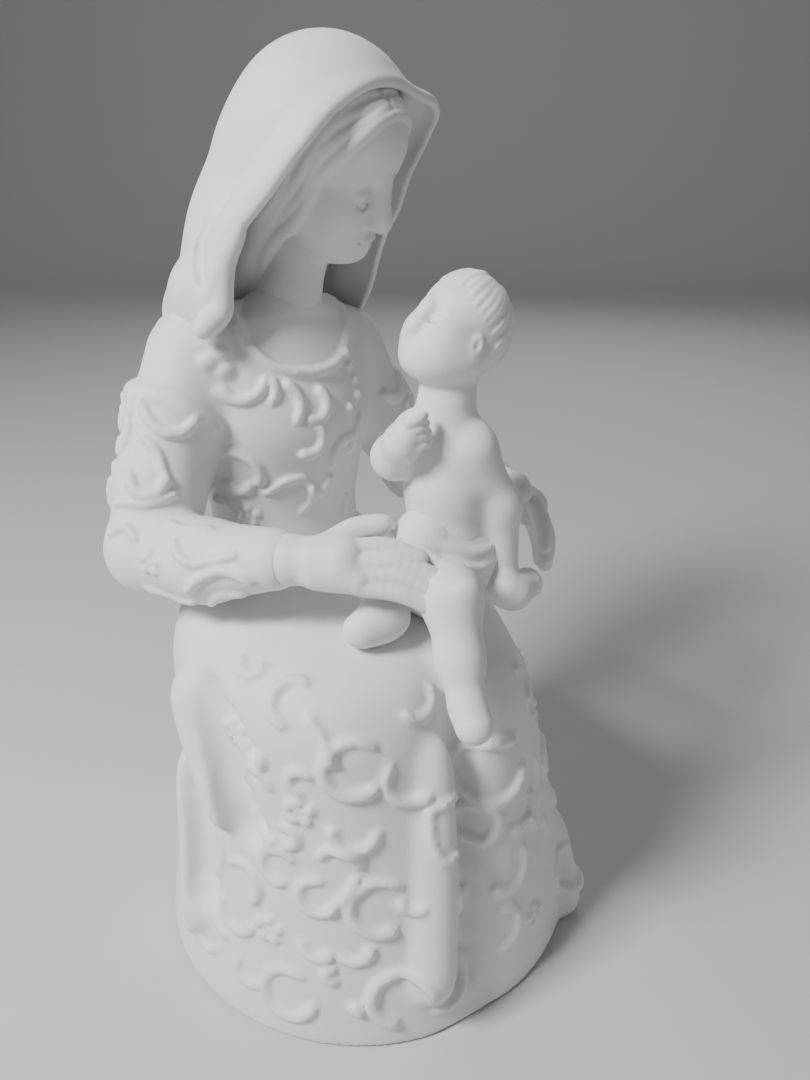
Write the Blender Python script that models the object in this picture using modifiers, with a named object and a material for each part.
"""A seated mother with a child on her lap, as a slip-cast bisque porcelain figurine.

The castings are modelled as they leave their moulds, before they are luted together with slip: hollow
skirt and bodice, the mother's head, veil, sleeves and hands, and the child's head, body and limbs.
The frame is the figurine's own: +Z up, the mother faces -Y, +X is on her left, and the origin is the
centre of the foot. Sizes are in millimetres, turned into metres by MM.
"""

import math

import bmesh
import bpy
from mathutils import Matrix, Vector

MM = 0.001
JOINT_GAP = 0.5  # the luted joint between two castings
WALL = 3.0  # cast wall of the hollow pieces
VENT_RADIUS = 6.0  # hole in the foot that lets the kiln gases out
WAIST_HEIGHT = 104.0  # where the skirt ends and the bodice begins

BISQUE = (0.83, 0.83, 0.81)
BISQUE_ROUGHNESS = 0.6

TORSO_TURN = math.radians(12)  # she turns towards the child, on her left
HEAD_TURN = math.radians(32)
HEAD_BOW = math.radians(28)
HEAD_LEAN = math.radians(10)
HEAD_CENTRE = Vector((5.8, 20, 196.2))
HOOD_CENTRE = Vector((5, 24, 196.5))

CHILD_HEAD_CENTRE = Vector((14.6, -22, 163.8))
CHILD_HEAD_TURN = math.radians(-86)
CHILD_HEAD_BOW = math.radians(-26)

# ---------------------------------------------------------------- scene and materials


def clear_scene():
    for obj in list(bpy.data.objects):
        bpy.data.objects.remove(obj)


def collection(name):
    made = bpy.data.collections.new(name)
    bpy.context.scene.collection.children.link(made)
    return made


def bisque(name):
    """Unglazed white porcelain, one material for each casting."""
    made = bpy.data.materials.new(name)
    made.use_nodes = True
    shader = made.node_tree.nodes["Principled BSDF"]
    shader.inputs["Base Color"].default_value = (*BISQUE, 1)
    shader.inputs["Roughness"].default_value = BISQUE_ROUGHNESS
    shader.inputs["Metallic"].default_value = 0
    return made


def add_object(name, bm):
    """A new object from a bmesh in millimetres, which is used up."""
    bmesh.ops.scale(bm, vec=(MM, MM, MM), verts=bm.verts)
    mesh = bpy.data.meshes.new(name)
    bm.to_mesh(mesh)
    bm.free()
    obj = bpy.data.objects.new(name, mesh)
    castings.objects.link(obj)
    mesh.materials.append(bisque(name))
    return obj


def apply_modifiers(obj):
    graph = bpy.context.evaluated_depsgraph_get()
    shape = bpy.data.meshes.new_from_object(obj.evaluated_get(graph), depsgraph=graph)
    obj.modifiers.clear()
    obj.data = shape


# ---------------------------------------------------------------- local frames


def head_frame(turn, bow, lean=0.0):
    """Forward, left and up directions of a head turned, bowed and leaning to its right."""
    forward = Vector((math.sin(turn) * math.cos(bow), -math.cos(turn) * math.cos(bow), -math.sin(bow)))
    left = Vector((math.cos(turn), math.sin(turn), 0))
    up = left.cross(-forward)
    return forward, left * math.cos(lean) + up * math.sin(lean), up * math.cos(lean) - left * math.sin(lean)


def on_head(centre, frame, forward, left, up):
    return centre + frame[0] * forward + frame[1] * left + frame[2] * up


# ---------------------------------------------------------------- lofted shells


def lofted_shell(name, loops, wall):
    """A surface through loops of points, thickened inwards. Its first and last loops stay open."""
    bm = bmesh.new()
    rows = [[bm.verts.new(point) for point in loop] for loop in loops]
    count = len(rows[0])
    for lower, upper in zip(rows, rows[1:]):
        for i in range(count):
            k = (i + 1) % count
            bm.faces.new((lower[i], lower[k], upper[k], upper[i]))
    obj = add_object(name, bm)
    solidify = obj.modifiers.new("wall", "SOLIDIFY")
    solidify.thickness = wall * MM
    solidify.offset = -1
    apply_modifiers(obj)
    return obj


def bell(angle, centre, width):
    """1 at centre, fading to 0 over width, all in degrees."""
    away = (angle - centre + 180) % 360 - 180
    return math.exp(-((away / width) ** 2))


def skirt_loop(ring, sides=44):
    """One loop of the skirt. A ring is z, centre x and y, its reach to her right, her left, the front
    and the back, and how far the knees stand out and the fold between them sinks in."""
    z, cx, cy, right, left, front, back, knees, fold = ring
    loop = []
    for i in range(sides):
        turn = 360 * i / sides
        c, s = math.cos(math.radians(turn)), math.sin(math.radians(turn))
        out = 1 + knees * (bell(turn, 242, 26) + bell(turn, 300, 24)) - fold * bell(turn, 274, 9)
        loop.append((cx + c * out * (left if c > 0 else right), cy + s * out * (back if s > 0 else front), z))
    return loop


SKIRT_RINGS = (
    (0.0, 0, 4, VENT_RADIUS, VENT_RADIUS, VENT_RADIUS, VENT_RADIUS, 0, 0),
    (0.0, 0, 0, 30, 30, 30, 30, 0, 0),
    (0.0, 0, 0, 53, 57, 54.5, 54, 0, 0.01),
    (1.6, 0, 0, 55.5, 60, 56.5, 56, 0, 0.02),
    (14, 0, 0, 53, 58, 55, 54, 0, 0.04),
    (32, 0, 0, 50, 53, 53, 52, 0, 0.06),
    (52, 0, 0, 48, 48, 50, 50, 0.02, 0.08),
    (70, 0, 0, 47, 43, 46, 49, 0.08, 0.10),
    (84, -1, 0, 46, 38, 42, 48, 0.13, 0.10),
    (93, -2, 2, 42, 34, 38, 44, 0.12, 0.08),
    (98, -3, 8, 36, 29, 32, 37.6, 0.06, 0.04),
    (100, -5, 16, 30, 25, 24, 29.4, 0, 0),
    (102, -7, 24, 24, 22.5, 19, 21.2, 0, 0),
    (WAIST_HEIGHT - JOINT_GAP, -8, 28, 21, 21, 16.5, 16.6, 0, 0),
)


def make_skirt():
    return lofted_shell("skirt", [skirt_loop(ring) for ring in SKIRT_RINGS], WALL)


BODICE_RINGS = (
    (WAIST_HEIGHT, -8, 28, 21, 16.5, 17),
    (112, -8, 28, 20.5, 15, 16),
    (124, -8, 28.5, 22.5, 17, 16),
    (136, -8, 29, 24.5, 19.5, 16),
    (147, -8, 30, 26, 17.5, 15.5),
    (155, -8, 30.5, 25.5, 14.5, 14.5),
    (160.5, -7, 30.5, 20, 11.5, 12.5),
    (163.5, -5.5, 29.5, 12.5, 9.5, 10),
    (164.5, -5, 29, 8.4, 8.4, 8.4),
)


def bodice_loop(ring, sides=32):
    """One loop of the bodice: z, centre x and y, half its width, and its reach to front and back."""
    z, cx, cy, half, front, back = ring
    loop = []
    for i in range(sides):
        turn = 2 * math.pi * i / sides
        c, s = math.cos(turn), math.sin(turn)
        across, deep = half * c, (back if s > 0 else front) * s
        loop.append((
            cx + across * math.cos(TORSO_TURN) - deep * math.sin(TORSO_TURN),
            cy + across * math.sin(TORSO_TURN) + deep * math.cos(TORSO_TURN),
            z,
        ))
    return loop


def make_bodice():
    return lofted_shell("bodice", [bodice_loop(ring) for ring in BODICE_RINGS], WALL * 0.8)


# ---------------------------------------------------------------- modelled limbs


def add_ball(bm, centre, radii, frame=None, sides=14):
    """An ellipsoid with radii along forward, left and up of frame."""
    radii = Vector((radii,) * 3) if isinstance(radii, (int, float)) else Vector(radii)
    axes = Matrix(frame).transposed().to_4x4() if frame else Matrix.Identity(4)
    place = Matrix.Translation(centre) @ axes @ Matrix.Diagonal((*radii, 1))
    bmesh.ops.create_uvsphere(bm, u_segments=sides, v_segments=sides // 2 + 2, radius=1, matrix=place)


def add_limb(bm, *joints, sides=14):
    """Tapered lengths between joints, each a point and a radius, with a ball at every joint."""
    for (start, start_radius), (end, end_radius) in zip(joints, joints[1:]):
        start, end = Vector(start), Vector(end)
        turn = (end - start).to_track_quat("Z", "Y").to_matrix().to_4x4()
        bmesh.ops.create_cone(
            bm, cap_ends=True, segments=sides, radius1=start_radius, radius2=end_radius,
            depth=(end - start).length, matrix=Matrix.Translation((start + end) / 2) @ turn,
        )
    for centre, radius in joints:
        add_ball(bm, Vector(centre), radius, sides=sides)


def remesh(obj, voxel):
    fuse = obj.modifiers.new("fuse", "REMESH")
    fuse.mode = "VOXEL"
    fuse.voxel_size = voxel * MM
    apply_modifiers(obj)


def fused(name, bm, voxel, smoothing=4):
    """The overlapping forms in bm fused into one closed body."""
    obj = add_object(name, bm)
    remesh(obj, voxel)
    soften = obj.modifiers.new("soften", "SMOOTH")
    soften.factor = 0.5
    soften.iterations = smoothing
    apply_modifiers(obj)
    obj["voxel"] = voxel
    return obj


def to_cutters(obj):
    castings.objects.unlink(obj)
    cutters.objects.link(obj)
    obj.hide_render = True
    obj.display_type = "WIRE"
    return obj


def swollen(obj):
    """A hidden copy of obj, larger by the joint gap on every side, to cut a neighbour with."""
    copy = bpy.data.objects.new("cutter_" + obj.name, obj.data.copy())
    castings.objects.link(copy)
    bm = bmesh.new()
    bm.from_mesh(obj.data)
    steps = [vertex.normal * min(2, vertex.calc_shell_factor()) * JOINT_GAP * MM for vertex in bm.verts]
    bm.free()
    for vertex, step in zip(copy.data.vertices, steps):
        vertex.co += step
    if "voxel" in obj:
        remesh(copy, obj["voxel"])
    return to_cutters(copy)


def keep_largest(obj):
    """Crumbs that a cut leaves beside the casting are dropped."""
    bm = bmesh.new()
    bm.from_mesh(obj.data)
    left, islands = set(bm.verts), []
    while left:
        queue, island = [left.pop()], []
        while queue:
            vertex = queue.pop()
            island.append(vertex)
            for edge in vertex.link_edges:
                other = edge.other_vert(vertex)
                if other in left:
                    left.remove(other)
                    queue.append(other)
        islands.append(island)
    islands.sort(key=len)
    for island in islands[:-1]:
        bmesh.ops.delete(bm, geom=island, context="VERTS")
    bm.to_mesh(obj.data)
    bm.free()


def cut(obj, *tools):
    for tool in tools:
        difference = obj.modifiers.new("cut_" + tool.name, "BOOLEAN")
        difference.operation = "DIFFERENCE"
        difference.object = tool
        difference.solver = "MANIFOLD"
    apply_modifiers(obj)
    keep_largest(obj)
    return obj


def seat(obj, *neighbours):
    """Cuts obj back to the luted joint with each neighbour."""
    return cut(obj, *[swollen(neighbour) for neighbour in neighbours])


def thin(obj, triangles):
    """Fewer, larger triangles over the same form."""
    remesh(obj, obj["voxel"])
    obj.data.calc_loop_triangles()
    fewer = obj.modifiers.new("fewer", "DECIMATE")
    fewer.ratio = min(1.0, triangles / len(obj.data.loop_triangles))
    apply_modifiers(obj)
    obj.data.shade_smooth()


# ---------------------------------------------------------------- the mother


def make_head():
    """Neck, face and the hair that shows under the veil, cast in one."""
    frame = head_frame(HEAD_TURN, HEAD_BOW, HEAD_LEAN)

    def at(forward, left, up):
        return on_head(HEAD_CENTRE, frame, forward, left, up)

    bm = bmesh.new()
    add_limb(bm, ((-5, 29, 156), 8.2), ((-4, 28.5, 166), 7.2), (at(-3, 0, -12), 7.4), sides=20)
    add_ball(bm, at(-1.5, 0, 4), (16.5, 14.5, 16), frame, sides=24)
    add_ball(bm, at(4, 0, -6), (10.8, 11, 12.4), frame, sides=20)
    add_ball(bm, at(10, 0, -16), (4.2, 4.6, 3.8), frame)
    add_limb(bm, (at(13.6, 0, 0), 1.8), (at(15.6, 0, -6.6), 1.9))
    for side in (-1, 1):
        add_limb(
            bm, (at(13, side * 2, 14), 3), (at(8, side * 11, 9), 3.4), (at(1, side * 14, -2), 3.6),
            (at(-4, side * 13, -14), 3.8), (at(-9, side * 12, -24), 3),
        )
    return fused("head", bm, 0.7)


def make_sleeve(name, *joints):
    bm = bmesh.new()
    add_limb(bm, *joints, sides=18)
    return fused(name, bm, 1.0)


def make_hand(name, palm, fingers):
    """A palm of limbs with four fingers and a thumb."""
    bm = bmesh.new()
    add_limb(bm, *palm, sides=14)
    for finger in fingers:
        add_limb(bm, *finger, sides=10)
    return fused(name, bm, 0.5, smoothing=3)


def make_veil():
    """The hood over the head, falling open in front on to the shoulders and the back."""
    frame = head_frame(HEAD_TURN, HEAD_BOW)

    def at(forward, left, up):
        return on_head(HOOD_CENTRE, frame, forward, left, up)

    outside = bmesh.new()
    add_ball(outside, at(-1, -1, 3.5), (22, 23, 23), frame, sides=24)
    add_ball(outside, at(9, -1, 4), (13, 24, 17), frame, sides=24)
    add_limb(outside, (at(0, 2, 19), 6), (at(13, 20, 14), 4))
    add_limb(outside, ((1, 31, 191), 22), ((-3, 35, 177), 23), ((-7, 36, 164), 24), sides=24)
    add_limb(outside, (at(10, -22, 0), 4.5), ((-18, 19, 183), 6), ((-26, 19, 172), 7), ((-29, 24, 165), 7))
    add_limb(outside, (at(9, 18, 0), 5), ((14, 27, 182), 5.5), ((11, 31, 168), 6), ((11, 33, 158), 6))
    inside = bmesh.new()
    add_ball(inside, at(1, -1, 3), (20, 20, 19), frame, sides=24)
    add_limb(inside, (at(2, -1, -1), 18.5), (at(36, -1, -8), 20), sides=24)
    add_limb(inside, (at(2, 0, -6), 16), ((-2, 20, 172), 15.5), ((-4, 12, 156), 17), sides=24)
    hollow = to_cutters(fused("veil_hollow", inside, 0.9))
    return cut(fused("veil", outside, 0.9), hollow)


# ---------------------------------------------------------------- the child


def make_child_head():
    frame = head_frame(CHILD_HEAD_TURN, CHILD_HEAD_BOW)

    def at(forward, left, up):
        return on_head(CHILD_HEAD_CENTRE, frame, forward, left, up)

    bm = bmesh.new()
    add_ball(bm, at(-1, 0, 1.8), (10.2, 9.4, 9.6), frame, sides=22)
    add_ball(bm, at(3.4, 0, -4.4), (6.6, 7.8, 6.2), frame, sides=18)
    add_ball(bm, at(7.2, 0, -8.2), 2.4)
    add_ball(bm, at(9.6, 0, -4), 1.3)
    for side in (-1, 1):
        add_ball(bm, at(0.6, side * 8.8, -3.4), (1.8, 1.2, 2.6), frame)
    add_limb(bm, (at(-1, 0, -8), 6.2), ((12, -22.5, 150), 5.8))
    return fused("child_head", bm, 0.6)


def make_body():
    bm = bmesh.new()
    add_limb(
        bm, ((12, -22, 107), 9.5), ((12, -22.5, 118), 8.6), ((12, -23, 131), 9), ((12, -23, 139), 7.4),
        ((12, -22.5, 148.5), 5.4), sides=20,
    )
    add_limb(bm, ((8.5, -17, 141.5), 5), ((15.5, -28.5, 141.5), 5))
    return fused("child_body", bm, 0.7)


def make_child_limb(name, *joints):
    bm = bmesh.new()
    add_limb(bm, *joints, sides=14)
    return fused(name, bm, 0.6)


def make_loincloth():
    bm = bmesh.new()
    add_limb(bm, ((12, -22, 106.5), 11.4), ((12, -22.3, 113), 10.4), sides=22)
    add_limb(bm, ((10, -26, 107), 8.6), ((7, -31, 108.5), 8.2))
    add_limb(bm, ((9, -21, 107), 8.6), ((3, -23, 109), 8.0))
    return fused("loincloth", bm, 0.7)


# ---------------------------------------------------------------- assembly

clear_scene()
castings = collection("mother_and_child_figurine")
cutters = collection("cutters")
cutters.hide_render = True

skirt = make_skirt()
bodice = make_bodice()
right_sleeve = make_sleeve(
    "right_sleeve", ((-30.5, 27, 153.5), 11), ((-39, 22, 136), 10.5), ((-46.5, 15.5, 110.5), 11),
    ((-38, -1, 112.5), 9.5), ((-28, -14, 116), 6.8),
)
left_sleeve = make_sleeve(
    "left_sleeve", ((15, 36, 149), 10), ((22, 35, 132), 9.5), ((33, 29, 114), 10), ((37, 14, 115), 8.5),
    ((40, 3, 118), 6.4),
)
seat(right_sleeve, bodice, skirt)
seat(left_sleeve, bodice, skirt)
head = seat(make_head(), bodice)
veil = seat(make_veil(), head, bodice, right_sleeve, left_sleeve)

child_body = seat(make_body(), skirt)
loincloth = seat(make_loincloth(), child_body, skirt)
child_left_leg = seat(
    make_child_limb(
        "child_left_leg", ((11, -26, 107), 7.2), ((4.5, -38.5, 110.5), 6.6), ((2, -49, 93), 4.2),
        ((0.5, -53, 87.5), 4.0),
    ),
    child_body, loincloth, skirt,
)
child_right_leg = seat(
    make_child_limb(
        "child_right_leg", ((9, -21, 108), 7.2), ((-3, -23, 110.5), 6.2), ((-6, -27, 103), 4.6),
        ((-12.5, -28.5, 101.5), 4.2),
    ),
    child_body, loincloth, child_left_leg, skirt,
)
child_head = seat(make_child_head(), child_body)
child_left_arm = seat(
    make_child_limb(
        "child_left_arm", ((15.5, -28.5, 140.5), 5.2), ((20.5, -29.5, 125), 4.8), ((21.5, -31, 110), 3.9),
        ((22.5, -33, 104.5), 4.3), ((30, -31, 105), 3.4),
    ),
    child_body, loincloth, child_left_leg, skirt,
)
child_right_arm = seat(
    make_child_limb(
        "child_right_arm", ((7, -17, 141), 5), ((-4, -20, 133.5), 4.7), ((-2.5, -26, 141), 3.9),
        ((0.5, -28, 143.5), 3.3),
    ),
    child_body, child_head,
)
right_hand = seat(
    make_hand(
        "right_hand",
        (((-30, -11, 115.6), 5), ((-24, -19, 117), 4.2), ((-14, -27, 117.5), 5)),
        (
            (((-15, -25, 120), 2.9), ((-6, -27, 121), 2.6), ((1, -31, 119), 2.1)),
            (((-14, -28, 118), 2.9), ((-5, -31, 118.5), 2.5), ((3, -36, 116), 2.0)),
            (((-13.5, -30, 116), 2.8), ((-5, -33.5, 116), 2.4), ((2.5, -38, 113.5), 1.9)),
            (((-14, -31, 114), 2.7), ((-6.5, -34.5, 113.5), 2.2), ((0, -38, 111), 1.8)),
            (((-18, -22, 119), 2.7), ((-10, -21, 122), 2.5), ((-4, -23, 123), 2.1)),
        ),
    ),
    right_sleeve, child_right_leg, child_left_leg, loincloth, child_body,
)
left_hand = seat(
    make_hand(
        "left_hand",
        (((39, 6, 116.6), 5), ((40, -4, 118), 4.2), ((41.5, -14, 115.5), 4.8)),
        (
            (((40.5, -17, 118), 2.6), ((39.5, -22.5, 114.5), 2.3), ((38, -26, 110), 1.8)),
            (((41.5, -17, 115.5), 2.7), ((41, -22.5, 111), 2.3), ((39, -25.5, 106), 1.8)),
            (((42.5, -16, 113.5), 2.6), ((42, -20.5, 108.5), 2.3), ((40.5, -23.5, 103.5), 1.8)),
            (((42.5, -14, 112), 2.5), ((42.5, -17.5, 107.5), 2.1), ((41.5, -20, 103), 1.7)),
            (((40, -8, 120.5), 2.6), ((38, -14, 122), 2.3), ((36.5, -18, 121), 1.9)),
        ),
    ),
    left_sleeve, child_left_arm, child_body,
)

TRIANGLES = {
    "head": 1900, "veil": 1700, "right_sleeve": 620, "left_sleeve": 560, "right_hand": 900, "left_hand": 900,
    "child_head": 800, "child_body": 520, "loincloth": 520, "child_left_leg": 380, "child_right_leg": 380,
    "child_left_arm": 340, "child_right_arm": 340,
}
for name, count in TRIANGLES.items():
    thin(bpy.data.objects[name], count)


def centre_on_foot():
    """Moves every casting so that the box around the figurine is centred on the origin."""
    points = [vertex.co for obj in castings.objects for vertex in obj.data.vertices]
    middle = [(min(p[axis] for p in points) + max(p[axis] for p in points)) / 2 for axis in (0, 1)]
    shift = Matrix.Translation((-middle[0], -middle[1], -min(p[2] for p in points)))
    for obj in castings.objects:
        obj.data.transform(shift)


centre_on_foot()
